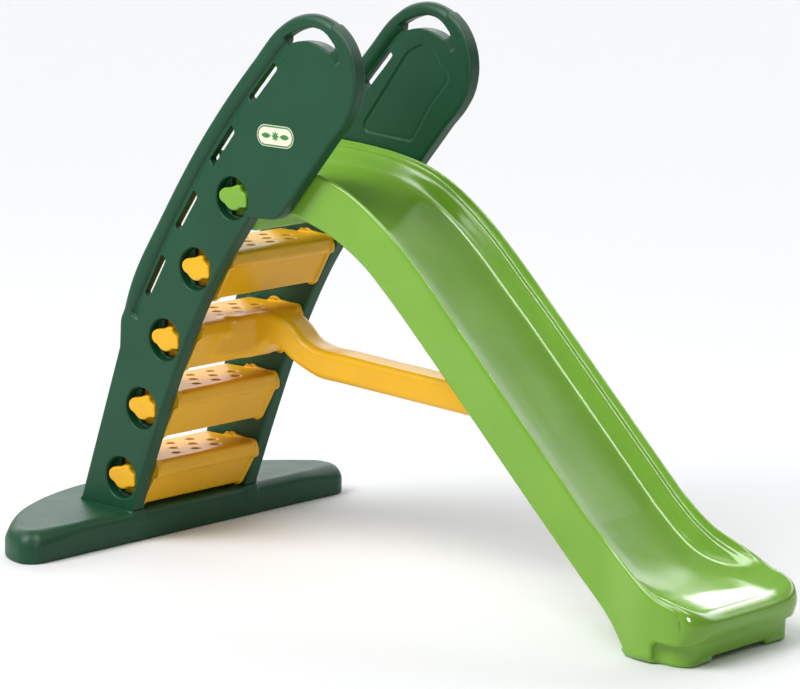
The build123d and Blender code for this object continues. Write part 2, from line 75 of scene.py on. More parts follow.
def ring(points, spacing=6.0):
    """Points along a smooth closed line through the given points."""
    around = curve(list(points[-2:]) + list(points) + list(points[:2]), spacing)
    first, last = np.array(points[0], float), np.array(points[-1], float)
    start = np.argmin(np.hypot(*(around[: len(around) // 3] - first).T))
    tail = len(around) - len(around) // 3
    end = tail + np.argmin(np.hypot(*(around[tail:] - last).T))
    return around[start : end + 1]


def rounded(corners):
    """A closed outline from corners (x, z, radius), each radius drawn as an arc."""
    outline = []
    for place, (x, z, radius) in enumerate(corners):
        here = np.array((x, z), float)
        back = np.array(corners[place - 1][:2]) - here
        on = np.array(corners[(place + 1) % len(corners)][:2]) - here
        back, on = back / np.hypot(*back), on / np.hypot(*on)
        half = math.acos(max(-1.0, min(1.0, float(back @ on)))) / 2
        reach = radius / math.tan(half) if radius else 0.0
        centre = here + (back + on) / np.hypot(*(back + on)) * (radius / math.sin(half)) if radius else here
        for turn in np.linspace(0, 1, 7 if radius else 1):
            point = here + back * reach * (1 - turn) + on * reach * turn
            away = point - centre
            outline.append(centre + away / np.hypot(*away) * radius if radius else here)
    return np.array(outline)


# --- distance fields ----------------------------------------------------------------------------
def region(outline, across, up):
    """Signed distance to a closed outline over a grid, below nothing inside it."""
    outline = np.asarray(outline, float)
    p, q = np.meshgrid(across, up, indexing="ij")
    best = np.full(p.shape, 1e12)
    inside = np.zeros(p.shape, bool)
    for (ax, az), (bx, bz) in zip(outline, np.roll(outline, -1, axis=0)):
        ex, ez = bx - ax, bz - az
        length = ex * ex + ez * ez
        if length == 0:
            continue
        t = np.clip(((p - ax) * ex + (q - az) * ez) / length, 0, 1)
        best = np.minimum(best, (p - ax - ex * t) ** 2 + (q - az - ez * t) ** 2)
        if ez:
            inside ^= ((az > q) != (bz > q)) & (p < ex * (q - az) / ez + ax)
    return (np.where(inside, -1.0, 1.0) * np.sqrt(best)).astype(np.float32)


def beside_path(path, across, up):
    """Distance to an open path, how far left of it, how far past its ends, and the place along it."""
    p, q = np.meshgrid(across, up, indexing="ij")
    best = np.full(p.shape, 1e12)
    left = np.zeros(p.shape)
    past = np.zeros(p.shape)
    along = np.zeros(p.shape)
    run = 0.0
    for place in range(len(path) - 1):
        (ax, az), (bx, bz) = path[place], path[place + 1]
        length = math.hypot(bx - ax, bz - az)
        ux, uz = (bx - ax) / length, (bz - az) / length
        t = (p - ax) * ux + (q - az) * uz
        held = np.clip(t, 0, length)
        away = (p - ax - ux * held) ** 2 + (q - az - uz * held) ** 2
        nearer = away < best
        best = np.where(nearer, away, best)
        left = np.where(nearer, (q - az) * ux - (p - ax) * uz, left)
        over = np.zeros(p.shape)
        if place == 0:
            over = np.maximum(over, -t)
        if place == len(path) - 2:
            over = np.maximum(over, t - length)
        past = np.where(nearer, over, past)
        along = np.where(nearer, run + held, along)
        run += length
    return np.sqrt(best), left, past, along / run


def flat(grid2d):
    """An X-Z field as a block that spreads over Y."""
    return np.asarray(grid2d, np.float32)[:, None, :]


def both(a, b, radius):
    """Where both shapes are, with their meeting edge rounded."""
    u, v = a + radius, b + radius
    return np.hypot(np.maximum(u, 0), np.maximum(v, 0)) + np.minimum(np.maximum(u, v), 0) - radius


def either(a, b, radius):
    """Where either shape is, with a fillet where they meet."""
    return -both(-a, -b, radius)


def ease(value, start, end):
    """Runs smoothly from 0 at start to 1 at end."""
    t = np.clip((value - start) / (end - start), 0, 1)
    return t * t * (3 - 2 * t)


def net(field, axes):
    """Surface nets: a point in each cell that the surface crosses and a quad for each crossed grid edge."""
    inside = field < 0
    _, ny, nz = field.shape
    stride = np.array([ny * nz, nz, 1])
    cells, spots, quads = [], [], []
    for a in range(3):
        b, c = (a + 1) % 3, (a + 2) % 3
        low = [slice(1, -1)] * 3
        high = [slice(1, -1)] * 3
        low[a], high[a] = slice(0, -1), slice(1, None)
        place = np.argwhere(inside[tuple(low)] != inside[tuple(high)])
        place[:, b] += 1
        place[:, c] += 1
        step = np.zeros(3, int)
        step[a] = 1
        here = field[tuple(place.T)].astype(float)
        there = field[tuple((place + step).T)].astype(float)
        spot = np.stack([axes[k][place[:, k]] for k in range(3)], axis=1).astype(float)
        spot[:, a] += here / (here - there) * (axes[a][place[:, a] + 1] - axes[a][place[:, a]])
        code = place @ stride
        quad = np.stack([code - stride[b] - stride[c], code - stride[c], code, code - stride[b]], axis=1)
        flip = here > 0
        quad[flip] = quad[flip][:, ::-1]
        cells.append(quad.ravel())
        spots.append(np.repeat(spot, 4, axis=0))
        quads.append(quad)
    cells, spots = np.concatenate(cells), np.concatenate(spots)
    codes, which = np.unique(cells, return_inverse=True)
    count = np.bincount(which, minlength=len(codes))
    points = np.stack([np.bincount(which, spots[:, k], len(codes)) / count for k in range(3)], axis=1)
    faces = np.searchsorted(codes, np.concatenate(quads))
    return points, faces


def settle(points, faces, rounds):
    """Evens a net out: each point moves towards the middle of its neighbours and partly back."""
    starts = faces.ravel()
    ends = np.roll(faces, -1, axis=1).ravel()
    both_ways = np.concatenate([starts, ends]), np.concatenate([ends, starts])
    count = np.bincount(both_ways[0], minlength=len(points))[:, None]
    for pull in [0.5, -0.52] * rounds:
        total = np.stack(
            [np.bincount(both_ways[0], points[both_ways[1], k], len(points)) for k in range(3)], axis=1
        )
        points = points + pull * (total / count - points)
    return points


def mesh_object(name, points, faces):
    """A smooth-shaded object in metres from points in millimetres."""
    points = (points - np.array([ORIGIN_X, 0, 0])) / 1000
    mesh = bpy.data.meshes.new(name)
    mesh.vertices.add(len(points))
    mesh.vertices.foreach_set("co", points.astype(np.float32).ravel())
    mesh.loops.add(faces.size)
    mesh.loops.foreach_set("vertex_index", faces.astype(np.int32).ravel())
    mesh.polygons.add(len(faces))
    mesh.polygons.foreach_set("loop_start", np.arange(len(faces), dtype=np.int32) * faces.shape[1])
    mesh.polygons.foreach_set("use_smooth", np.ones(len(faces), bool))
    mesh.update(calc_edges=True)
    mesh.validate()
    piece = bpy.data.objects.new(name, mesh)
    bpy.context.scene.collection.objects.link(piece)
    return piece


def stand_in(piece, node, body, material):
    """Puts a piece in place of its CAD node."""
    piece.data.materials.append(material)
    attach(piece, body)
    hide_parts(node)


def mark(piece, amounts):
    """Stores an amount from 0 to 1 at each point of a piece, for its material to show."""
    layer = piece.data.attributes.new("marked", "FLOAT", "POINT")
    layer.data.foreach_set("value", amounts.astype(np.float32))


def spread(*stops):
    """Grid places from runs of (start, end, spacing)."""
    places = [np.arange(start, end, spacing) for start, end, spacing in stops]
    return np.concatenate(places + [np.array([stops[-1][1]])]).astype(np.float32)


# --- materials ----------------------------------------------------------------------------------
def plastic(name, colour, deep, rough, grain, wave, scuff, mirror=0.5):
    """Moulded plastic: mottled colour, orange-peel grain, faint waves in the wall and scuffed gloss.

    grain and wave are heights in metres, rough is the lowest roughness and mirror the specular level.
    """
    material = bpy.data.materials.new(name)
    material.use_nodes = True
    nodes, links = material.node_tree.nodes, material.node_tree.links
    shader = nodes["Principled BSDF"]
    where = nodes.new("ShaderNodeTexCoord").outputs["Object"]

    def noise(scale, detail, roughness=0.5, distortion=0.0):
        node = nodes.new("ShaderNodeTexNoise")
        node.inputs["Scale"].default_value = scale
        node.inputs["Detail"].default_value = detail
        node.inputs["Roughness"].default_value = roughness
        node.inputs["Distortion"].default_value = distortion
        links.new(where, node.inputs["Vector"])
        return node.outputs["Fac"]

    def spread_over(value, low, high, out_low, out_high):
        node = nodes.new("ShaderNodeMapRange")
        node.inputs["From Min"].default_value = low
        node.inputs["From Max"].default_value = high
        node.inputs["To Min"].default_value = out_low
        node.inputs["To Max"].default_value = out_high
        links.new(value, node.inputs["Value"])
        return node.outputs["Result"]

    def blend(factor, first, second):
        node = nodes.new("ShaderNodeMix")
        node.data_type = "RGBA"
        links.new(factor, node.inputs["Factor"])
        for socket, value in ((node.inputs["A"], first), (node.inputs["B"], second)):
            if isinstance(value, tuple):
                socket.default_value = (*value, 1)
            else:
                links.new(value, socket)
        return node.outputs["Result"]

    mottled = blend(spread_over(noise(5.0, 3.0), 0.3, 0.7, 0.0, 1.0), deep, colour)
    pale = tuple(min(1.0, channel * 1.12 + 0.02) for channel in colour)
    edge = nodes.new("ShaderNodeNewGeometry").outputs["Pointiness"]
    worn = nodes.new("ShaderNodeMath")
    worn.operation = "MULTIPLY"
    links.new(spread_over(edge, 0.52, 0.62, 0.0, 1.0), worn.inputs[0])
    links.new(spread_over(noise(38.0, 4.0, 0.65), 0.45, 0.7, 0.0, scuff), worn.inputs[1])
    links.new(blend(worn.outputs["Value"], mottled, pale), shader.inputs["Base Color"])

    smudges = spread_over(noise(9.0, 5.0, 0.6, 0.4), 0.35, 0.75, rough, rough + 0.09)
    scratches = spread_over(noise(70.0, 2.0, 0.5, 1.5), 0.6, 0.75, 0.0, 0.05)
    total = nodes.new("ShaderNodeMath")
    links.new(smudges, total.inputs[0])
    links.new(scratches, total.inputs[1])
    links.new(total.outputs["Value"], shader.inputs["Roughness"])

    waves = nodes.new("ShaderNodeBump")
    waves.inputs["Strength"].default_value = 1.0
    waves.inputs["Distance"].default_value = wave
    links.new(noise(11.0, 1.0), waves.inputs["Height"])
    peel = nodes.new("ShaderNodeBump")
    peel.inputs["Strength"].default_value = 1.0
    peel.inputs["Distance"].default_value = grain
    links.new(noise(420.0, 2.0, 0.6), peel.inputs["Height"])
    links.new(waves.outputs["Normal"], peel.inputs["Normal"])
    links.new(peel.outputs["Normal"], shader.inputs["Normal"])
    shader.inputs["IOR"].default_value = 1.5
    shader.inputs["Specular IOR Level"].default_value = mirror
    return material


def lay_print_and_shade(material, colour):
    """Lays a second colour over a material where a piece's points are marked: printed ink on the badge,
    painted shade in the step dimples.
    """
    nodes, links = material.node_tree.nodes, material.node_tree.links
    shader = nodes["Principled BSDF"]
    below = shader.inputs["Base Color"].links[0].from_socket
    amount = nodes.new("ShaderNodeAttribute")
    amount.attribute_name = "marked"
    over = nodes.new("ShaderNodeMix")
    over.data_type = "RGBA"
    links.new(amount.outputs["Fac"], over.inputs["Factor"])
    links.new(below, over.inputs["A"])
    over.inputs["B"].default_value = (*colour, 1)
    links.new(over.outputs["Result"], shader.inputs["Base Color"])


def linear(red, green, blue):
    """A display colour, 0 to 255, as linear light."""
    return tuple(((channel / 255 + 0.055) / 1.055) ** 2.4 for channel in (red, green, blue))


green = plastic(
    "green_plastic", linear(16, 74, 46), linear(12, 68, 41),
    rough=0.4, grain=0.00006, wave=0.0004, scuff=0.5, mirror=0.34,
)
yellow = plastic(
    "yellow_plastic", linear(236, 178, 14), linear(228, 168, 10),
    rough=0.3, grain=0.00004, wave=0.0004, scuff=0.35, mirror=0.4,
)
lime = plastic(
    "lime_plastic", linear(122, 172, 50), linear(114, 164, 45),
    rough=0.13, grain=0.00001, wave=0.0003, scuff=0.3, mirror=0.5,
)
# Painted shade: a dark brown laid into the tread dimples, where the recesses fall in shade.
DIMPLE_PAINTED_SHADE = linear(122, 82, 16)
lay_print_and_shade(yellow, DIMPLE_PAINTED_SHADE)
steel = plastic(
    "screw_steel", (0.55, 0.55, 0.56), (0.5, 0.5, 0.52), rough=0.3, grain=0.00003, wave=0.0, scuff=0.2
)
steel.node_tree.nodes["Principled BSDF"].inputs["Metallic"].default_value = 1.0


# --- ladder sides -------------------------------------------------------------------------------
BACK_AND_HOOP = [
    (-66, 622), (-40, 702), (93, 932), (256, 1169), (428, 1370), (520, 1464), (575, 1495), (640, 1506),
    (705, 1489), (757, 1449), (787, 1396), (796, 1335), (783, 1275), (752, 1225), (710, 1180),
]
FRONT = [(422, 952), (270, 739), (150, 510), (62, 298), (-18, 88)]
GROOVE_PATH = [
    (-3, 642), (18, 682), (143, 899), (302, 1131), (468, 1324), (560, 1417), (600, 1441), (641, 1452),
    (684, 1442), (714, 1419), (728, 1396),
]
SLOTS = [
    [(29, 694), (96, 809)], [(145, 891), (217, 997)], [(275, 1084), (355, 1184)], [(416, 1263), (507, 1363)],
]
SLOT_HALF = 13.5
WELL_RADIUS = 58
WELL_DEPTH_FROM_MIDDLE = 7.5
BORE_RADIUS = 35
# Across the groove beside the rail: distance left of its path, and depth.
GROOVE_SECTION = [
    (-20, 0), (-18.4, 3), (-16, 4), (4, 9.5), (12, 12), (14.5, 11), (17, 7.5), (21, 4.5), (27, 1.6), (35, 0),
]
HANDLE_TOP = [(541, 1438), (572, 1454), (605, 1465), (638, 1471), (668, 1467), (700, 1451), (722, 1431)]
HANDLE_BOTTOM = [(703, 1412), (683, 1421), (662, 1429), (632, 1434), (598, 1433), (570, 1427), (551, 1420)]
FIELD = [
    (400, 1140, 20), (575, 1372, 60), (625, 1394, 30), (668, 1384, 30), (694, 1345, 24), (736, 1318, 26),
    (660, 1230, 60), (595, 1128, 22),
]


def panel_outline():
    """A ladder side: leaning stile, waist, handrail, hoop, paddle and front."""
    heel = rounded([(-225, 88, 0), (-70, 540, 30), (-66, 622, 0)])[:-1]
    step_under = rounded([(710, 1180, 0), (522, 957, 55), (422, 952, 12), (270, 739, 0)])[1:-1]
    return np.vstack([heel, curve(BACK_AND_HOOP), step_under, curve(FRONT)])


def panel_mesh():
    """One ladder side as a net, with y counted outwards from the middle of its thickness."""
    x = spread((-236, 806, 2.6))
    v = spread((-26.0, 26.0, 2.0))
    z = spread((48, 84, 4.0), (84, 1514, 2.6))
    half = PANEL_THICK / 2
    outline = region(panel_outline(), x, z)
    away, left, past, along = beside_path(curve(GROOVE_PATH, 16), x, z)
    left = left + 1.3 * ease(along, 0.93, 0.975) * (left - 2)
    # The groove falls steeply beside the rail and climbs gently to a thin step on its other side.
    groove = np.interp(left, *np.array(GROOVE_SECTION, float).T)
    tail = np.hypot(past, np.maximum(np.abs(left + 1) - 9, 0))
    groove = groove * np.where(past > 0, 1 - ease(tail, 9, 17), 1) * (away < 60)
    edge_of_field = region(rounded(FIELD), x, z)
    field = 2.6 * (1 - ease(edge_of_field, -2.0, 1.0))
    field = field + 1.6 * ease(edge_of_field, -9, -6) * (1 - ease(edge_of_field, -6, -3))
    rail = (1 - ease(left, 62, 74)) * ease(left, 6, 24) * (1 - ease(past, 10, 60))
    edge = flat(8.5 + 11.0 * rail)
    v3 = v[None, :, None]
    slab = np.maximum(v3 - half + flat(groove), -v3 - half + flat(np.maximum(groove, field)))
    body = both(flat(outline), slab, edge)
    body = np.where(z[None, None, :] < FOOT_HEIGHT + 10, both(flat(outline), slab, 2.0), body)
    for (ax, az), (bx, bz) in SLOTS:
        length = math.hypot(bx - ax, bz - az)
        ux, uz = (bx - ax) / length, (bz - az) / length
        p, q = np.meshgrid(x - (ax + bx) / 2, z - (az + bz) / 2, indexing="ij")
        slot = both(np.abs(p * ux + q * uz) - length / 2, np.abs(q * ux - p * uz + 3) - SLOT_HALF, 5.0)
        body = both(body, -flat(slot), 2.5)
    handle = region(np.vstack([curve(HANDLE_TOP), curve(HANDLE_BOTTOM)]), x, z)
    body = both(body, -flat(handle), 4.0)
    for sx, sz in SEATS:
        p, q = np.meshgrid(x - sx, z - sz, indexing="ij")
        well = both(flat(np.hypot(p, q) - WELL_RADIUS), -WELL_DEPTH_FROM_MIDDLE - v3, 3.0)
        body = both(body, -well, 4.0)
        bore = np.minimum(np.hypot(p, q) - BORE_RADIUS, both(np.abs(p) - 28.5, np.abs(q) - 50, 6.0))
        body = both(body, -flat(bore), 1.5)
    p, q = np.meshgrid(np.abs(x + 118) - 70, np.maximum(54.0 - z, z - 92.0), indexing="ij")
    tongue = both(flat(np.maximum(p, q)), np.abs(v3) - 14, 2.0)
    body = np.minimum(body, tongue)
    points, faces = net(body, (x, v, z))
    return settle(points, faces, 1), faces


points, faces = panel_mesh()
for name, side in (("side_panel_right", -1), ("side_panel_left", 1)):
    placed = points.copy()
    placed[:, 1] = side * (PANEL_MIDDLE + placed[:, 1])
    panel = mesh_object(name + "_moulding", placed, faces if side == 1 else faces[:, ::-1])
    stand_in(panel, name, "ladder", green)


# --- foot ---------------------------------------------------------------------------------------
def foot_mesh():
    """The wide foot: straight in front and bowed behind, with sockets for the two ladder sides."""
    x = spread((-392, -6, 4.0))
    y = spread((-634, -520, 4.0), (-520, -260, 8.0), (-260, -190, 3.0), (-190, 190, 10.0), (190, 260, 3.0),
               (260, 520, 8.0), (520, 634, 4.0))
    z = spread((-4, 94, 3.0))
    x3, y3, z3 = x[:, None, None], y[None, :, None], z[None, None, :]
    plan = both(both(x3 + 14, np.abs(y3) - 628, 52), np.hypot(x3 - 495, y3) - 880, 48)
    body = both(both(plan, z3 - FOOT_HEIGHT, 26 + 24 * ease(np.abs(y3), 420, 625)), -z3, 6)
    side = np.abs(y3) - PANEL_MIDDLE
    pad = both(both(np.abs(x3 + 121) - 107, np.abs(side) - 25.5, 8), z3 - FOOT_HEIGHT, 1.5)
    body = either(body, both(pad, 50 - z3, 1.0), 6)
    socket = np.maximum(np.maximum(np.abs(x3 + 118) - 70.4, np.abs(side) - 14.4), 53.6 - z3)
    body = both(body, -socket, 1.0)
    pocket = np.maximum(np.maximum(np.abs(x3 + 118) - 70, np.abs(side) - 14), z3 - 47.6)
    body = both(body, -pocket, 2.0)
    points, faces = net(body, (x, y, z))
    return settle(points, faces, 1), faces


foot = mesh_object("base_foot_moulding", *foot_mesh())
stand_in(foot, "base_foot", "ladder", green)


# --- steps --------------------------------------------------------------------------------------
LUG = [
    (-51, -3), (-50, 13), (-38, 23), (-13, 28), (27, 34), (31, 25), (39, 18), (47, 13), (50, -1), (48, -19),
    (27, -22), (9, -31), (-6, -32), (-22, -25), (-31, -17), (-44, -12),
]


# Rows of dimples on a tread: place along X from the seat, and how many lie across.
DIMPLE_ROWS = [(-53.0, 3), (-3.0, 4), (47.0, 3)]
DIMPLE_SPACING = 77.0
DIMPLE_DEPTH = 5.0


def dimple_middles():
    """The middle of each dimple of a tread, from its seat."""
    return [
        (row, (place - (count - 1) / 2) * DIMPLE_SPACING)
        for row, count in DIMPLE_ROWS
        for place in range(count)
    ]


def lugs(x, y3, z):
    """The round neck and the lobed lug at each end of a step, about a seat at the middle of the grid."""
    p, q = np.meshgrid(x, z, indexing="ij")
    neck = np.maximum(flat(np.hypot(p, q) - 34.9), np.abs(np.abs(y3) - 205) - 14)
    lug = both(flat(region(ring(LUG), x, z)), np.abs(np.abs(y3) - 229.5) - 13.5, 5.0)
    return either(neck, lug, 2.0)


def step_field(x, y, z, depth):
    """A step about its seat: crowned tread with dimples, lipped body, lobed end plates and lugs."""
    y3 = y[None, :, None]
    section = rounded([
        (-108, 50, 14), (-96, 52, 0), (80, 53, 0), (95, 46, 12), (96, 9, 13), (78, 4, 2), (31, 9 - depth, 9),
        (-58, 9 - depth, 9), (-108, 10, 13),
    ])
    body = both(flat(region(section, x, z)), np.abs(y3) - 191, 5.0)
    plate = rounded([
        (-62, 44, 9), (-31, 49, 9), (22, 58, 14), (54, 55, 8), (90, 56, 12), (101, 30, 12), (100, 8, 10),
        (84, 1, 4), (37, 9 - depth, 8), (-52, 9 - depth, 8), (-86, -20, 20),
    ])
    p, q = np.meshgrid(x, z, indexing="ij")
    lobes = np.minimum(np.hypot(p + 5, q - 40) - 26, np.hypot(p - 18, q + depth - 17) - 17)
    lobes = np.minimum(lobes, np.hypot(p + 40, q + depth - 17) - 17)
    ends = both(flat(either(region(plate, x, z), lobes, 6)), np.abs(np.abs(y3) - 191) - 7, 4.0)
    body = either(body, ends, 3.0)
    dimples = np.zeros((len(x), len(y), 1), np.float32)
    for row, middle in dimple_middles():
        away = np.hypot(x[:, None, None] - row, y3 - middle)
        dimples = np.maximum(dimples, DIMPLE_DEPTH * (1 - ease(away, 9.0, 17.5)))
    on_top = ease(z[None, None, :], 30, 42)
    return np.minimum(body + dimples * on_top, lugs(x, y3, z))


def painted_dimple_shade(points, seat):
    """How much painted shade lies at each point of a step, darkest in the dimples."""
    x, y, z = (points - np.array([seat[0], 0, seat[1]])).T
    shade = np.zeros(len(points))
    for row, middle in dimple_middles():
        away = np.hypot(x - row, y - middle)
        shade = np.maximum(shade, 1 - ease(away, 12.5, 17.0))
    return shade * ease(z, 36, 44) * 0.8


STEP_Y = spread((-246, -180, 2.0), (-180, 180, 3.6), (180, 246, 2.0))


def step_mesh(seat, depth):
    """A plain step as a net."""
    x = spread((-114, 104, 2.6))
    z = spread((-depth - 4, 64, 2.6))
    points, faces = net(step_field(x, STEP_Y, z, depth), (x, STEP_Y, z))
    return settle(points, faces, 1) + np.array([seat[0], 0, seat[1]]), faces


for number, depth in ((0, 86.0), (1, 92.0), (3, 92.0)):
    name = f"step_{number + 1}"
    points, faces = step_mesh(SEATS[number], depth)
    step = mesh_object(name + "_moulding", points, faces)
    # The dimples get painted shade.
    mark(step, painted_dimple_shade(points, SEATS[number]))
    stand_in(step, name, "ladder", yellow)

BRACE_OVER = [
    (140, 625), (200, 637), (262, 655), (305, 660), (350, 653), (390, 630), (425, 599), (470, 583),
    (560, 578), (1211, 549),
]
BRACE_UNDER = [
    (1300, 463), (560, 498), (476, 503), (414, 523), (377, 539), (349, 557), (308, 573), (270, 548),
    (232, 526), (180, 520), (140, 520),
]


def brace_mesh():
    """The third step in one moulding with its brace."""
    sx, sz = SEATS[2]
    x = spread((sx - 114, 470, 2.6), (470, 1308, 6.0)) - sx
    z = spread((455, 668, 2.6)) - sz
    x3, y3 = x[:, None, None], STEP_Y[None, :, None]
    step = step_field(x, STEP_Y, z, 92.0)
    outline = np.vstack([curve(BRACE_OVER), curve(BRACE_UNDER[:2])[1:-1], curve(BRACE_UNDER[1:])])
    half = 45 + 63 * (1 - ease(x3 + sx, 150, 262))
    brace = both(flat(region(outline - np.array([sx, sz]), x, z)), np.abs(y3) - half, 20.0)
    body = either(step, brace, 16.0)
    points, faces = net(body, (x, STEP_Y, z))
    return settle(points, faces, 1) + np.array([sx, 0, sz]), faces


points, faces = brace_mesh()
brace = mesh_object("step_3_brace_moulding", points, faces)
# The dimples get painted shade.
mark(brace, painted_dimple_shade(points, SEATS[2]))
stand_in(brace, "step_3_brace", "brace", yellow)


# --- chute --------------------------------------------------------------------------------------
PLATFORM_RIM = [
    (258, 1113), (345, 1113), (461, 1107), (553, 1097), (645, 1079), (718, 1054), (779, 1023), (843, 982),
    (896, 942), (953, 893), (1016, 835), (1109, 745),
]
EXIT_RIM = [
    (1540, 329), (1595, 286), (1645, 249), (1690, 224), (1735, 203), (1796, 179), (1850, 166), (1888, 148),
    (1910, 124), (1915, 98), (1896, 62),
]
NOSE_FOOT = [(1893, 14), (1876, 0), (1690, 0), (1658, 19)]
HEM = [
    (1632, 68), (1600, 99), (1518, 174), (1390, 295), (1156, 520), (1002, 668), (849, 808), (799, 850),
    (723, 898), (658, 928), (566, 956), (450, 975),
]
BEAM = [(425, 966), (399, 909), (305, 909), (272, 985), (258, 1030)]
PLATFORM_BED = [
    (200, 1048), (345, 1048), (461, 1043), (545, 1034), (628, 1016), (692, 994), (749, 963), (806, 925),
    (857, 886), (911, 840), (972, 783), (1065, 698),
]
EXIT_BED = [(1497, 280.5), (1572, 219), (1640, 177), (1700, 155), (1755, 143.5), (1810, 136.5), (1867, 130.5)]
SKY = [(2000, 131), (2000, 1400), (200, 1400)]
SLOPE_HALF = 199
NOSE_FLARE = 41
BED_WALL = 6.4
# Half the channel from above its middle line: distance from the middle, and height over the bed.
CHANNEL_SECTION = [
    (0, 0), (60, 0.4), (95, 1.4), (118, 3), (134, 5), (143, 8.5), (149, 14), (153, 20), (166, 43.5),
    (169, 47), (173, 48.6), (179, 48.6), (183.5, 51), (186, 56), (188, 64), (190, 90),
]
PAN_SECTION = [
    (0, 0), (50, 0.2), (90, 1.2), (115, 4), (138, 11), (160, 21), (174, 30), (184, 41), (189, 55), (192, 90),
]


def chute_mesh():
    """Platform, slope, run-out and nose in one moulding, open underneath."""
    x = spread((252, 1924, 3.6))
    y = spread((-248, -128, 2.2), (-128, 128, 4.6), (128, 248, 2.2))
    z = spread((-4, 1120, 3.6))
    x3, y3, z3 = x[:, None, None], np.abs(y)[None, :, None], z[None, None, :]
    side = np.vstack([
        curve(PLATFORM_RIM), curve(EXIT_RIM), rounded([(*point, 5) for point in NOSE_FOOT]), curve(HEM),
        rounded([(*point, 8) for point in BEAM]),
    ])
    side = flat(region(side, x, z))
    # The sides flare out to the nose, and the channel opens from steep walls into a wide shallow pan.
    spread_out = ease(x3, 1590, 1790)
    wide = SLOPE_HALF + NOSE_FLARE * spread_out
    lane = y3 * SLOPE_HALF / wide
    height = -flat(region(np.vstack([curve(PLATFORM_BED), curve(EXIT_BED), SKY]), x, z))
    nose = ease(x3, 1680, 1840)
    front = x3 - 1924 + 18 * (y3 / 240) ** 2
    plan = both(front, y3 - wide, 78)
    body = both(side, both(front - 24, y3 - wide, 98), 11 + 22 * nose)
    # How far above the bed the air starts: a shallow dish, a steep wall, a shelf and the rolled rim.
    slope_floor = np.interp(lane, *curve(CHANNEL_SECTION, 1.5).T)
    pan_floor = np.interp(lane, *curve(PAN_SECTION, 2.0).T)
    floor = slope_floor + (pan_floor - slope_floor) * ease(x3, 1610, 1790)
    tilt = np.hypot(1, np.gradient(floor, y.astype(float), axis=1))
    air = ((floor - height) / tilt).astype(np.float32)
    body = both(body, -air, 5 + 16 * nose)
    belly = both(both(height + BED_WALL, y3 - 141, 12), np.maximum(440 - x3, x3 - 1580), 20)
    body = both(body, -belly, 3.0)
    # Below its lip the nose is set back, and it stands on two feet.
    recess = both(both(z3 - 58, -(plan + 24), 6), 1790 - x3, 16)
    body = both(body, -recess, 9.0)
    between = both(both(z3 - 13, y3 - 112, 8), 1640 - x3, 8)
    body = both(body, -between, 5.0)
    sx, sz = SEATS[4]
    body = np.minimum(body, lugs(x - sx, y[None, :, None], z - sz))
    points, faces = net(body, (x, y, z))
    return settle(points, faces, 1), faces


chute = mesh_object("chute_moulding", *chute_mesh())
stand_in(chute, "chute", "chute", lime)

# --- badge and screws ---------------------------------------------------------------------------
BADGE_CENTRE = (517.0, 1178.0)
BADGE_INK = linear(46, 128, 62)


def badge_mesh():
    """A thin label with a raised rim and a sun between two leaves, and how much ink lies at each point."""
    x = spread((448, 586, 1.0))
    y = spread((-247.0, -245.0, 0.25))
    z = spread((1146, 1210, 1.0))
    p, q = np.meshgrid(x - BADGE_CENTRE[0], z - BADGE_CENTRE[1], indexing="ij")

    def prints(p, q):
        """Signed distance to the printed shapes."""
        rim = np.abs(np.hypot(np.maximum(np.abs(p) - 37, 0), q) - 24.5) - 2.2
        angle = np.arctan2(q, p)
        sun = np.hypot(p, q) - 10.5 - 3.2 * np.cos(8 * angle)
        leaves = np.maximum(np.hypot(np.abs(p) - 33, q - 17) - 24, np.hypot(np.abs(p) - 33, q + 17) - 24)
        return np.minimum(np.minimum(rim, sun), leaves)

    plate = np.hypot(np.maximum(np.abs(p) - 37, 0), q) - 28.8
    lift = 0.3 * (1 - ease(prints(p, q), -0.6, 0.6))
    y3 = y[None, :, None]
    body = np.maximum(np.maximum(flat(plate), y3 + OUTER_HALF), -y3 - OUTER_HALF - 0.65 - flat(lift))
    points, faces = net(body, (x, y, z))
    ink = 1 - ease(prints(points[:, 0] - BADGE_CENTRE[0], points[:, 2] - BADGE_CENTRE[1]), -0.5, 0.5)
    return points, faces, ink


label = plastic(
    "label_film", (0.84, 0.79, 0.62), (0.8, 0.75, 0.58), rough=0.28, grain=0.00001, wave=0.0, scuff=0.2
)
points, faces, ink = badge_mesh()
badge = mesh_object("badge_label", points, faces)
mark(badge, ink)
stand_in(badge, "badge", "ladder", label)
lay_print_and_shade(label, BADGE_INK)

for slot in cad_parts["panel_screws"].material_slots:
    slot.material = steel


# --- floor, light and camera --------------------------------------------------------------------
FLOOR_REACH = 80.0
PAPER_COLOUR = (0.79, 0.79, 0.8, 1)
floor_mesh = bpy.data.meshes.new("studio_floor")
corners = [(-1, -1), (1, -1), (1, 1), (-1, 1)]
floor_mesh.from_pydata([(FLOOR_REACH * x, FLOOR_REACH * y, 0) for x, y in corners], [], [(0, 1, 2, 3)])
floor = bpy.data.objects.new("studio_floor", floor_mesh)
bpy.context.scene.collection.objects.link(floor)
paper = bpy.data.materials.new("studio_paper")
paper.use_nodes = True
paper_shader = paper.node_tree.nodes["Principled BSDF"]
paper_shader.inputs["Base Color"].default_value = PAPER_COLOUR
paper_shader.inputs["Roughness"].default_value = 0.9
floor_mesh.materials.append(paper)

world = bpy.data.worlds.new("studio")
bpy.context.scene.world = world
world.use_nodes = True
sky_nodes, sky_links = world.node_tree.nodes, world.node_tree.links
direction = sky_nodes.new("ShaderNodeTexCoord").outputs["Generated"]


def sky_step(value, start, end, low, high):
    """A smooth step from low to high as a value of the sky runs from start to end."""
    node = sky_nodes.new("ShaderNodeMapRange")
    node.interpolation_type = "SMOOTHSTEP"
    for socket, number in (("From Min", start), ("From Max", end), ("To Min", low), ("To Max", high)):
        node.inputs[socket].default_value = number
    sky_links.new(value, node.inputs["Value"])
    return node.outputs["Result"]


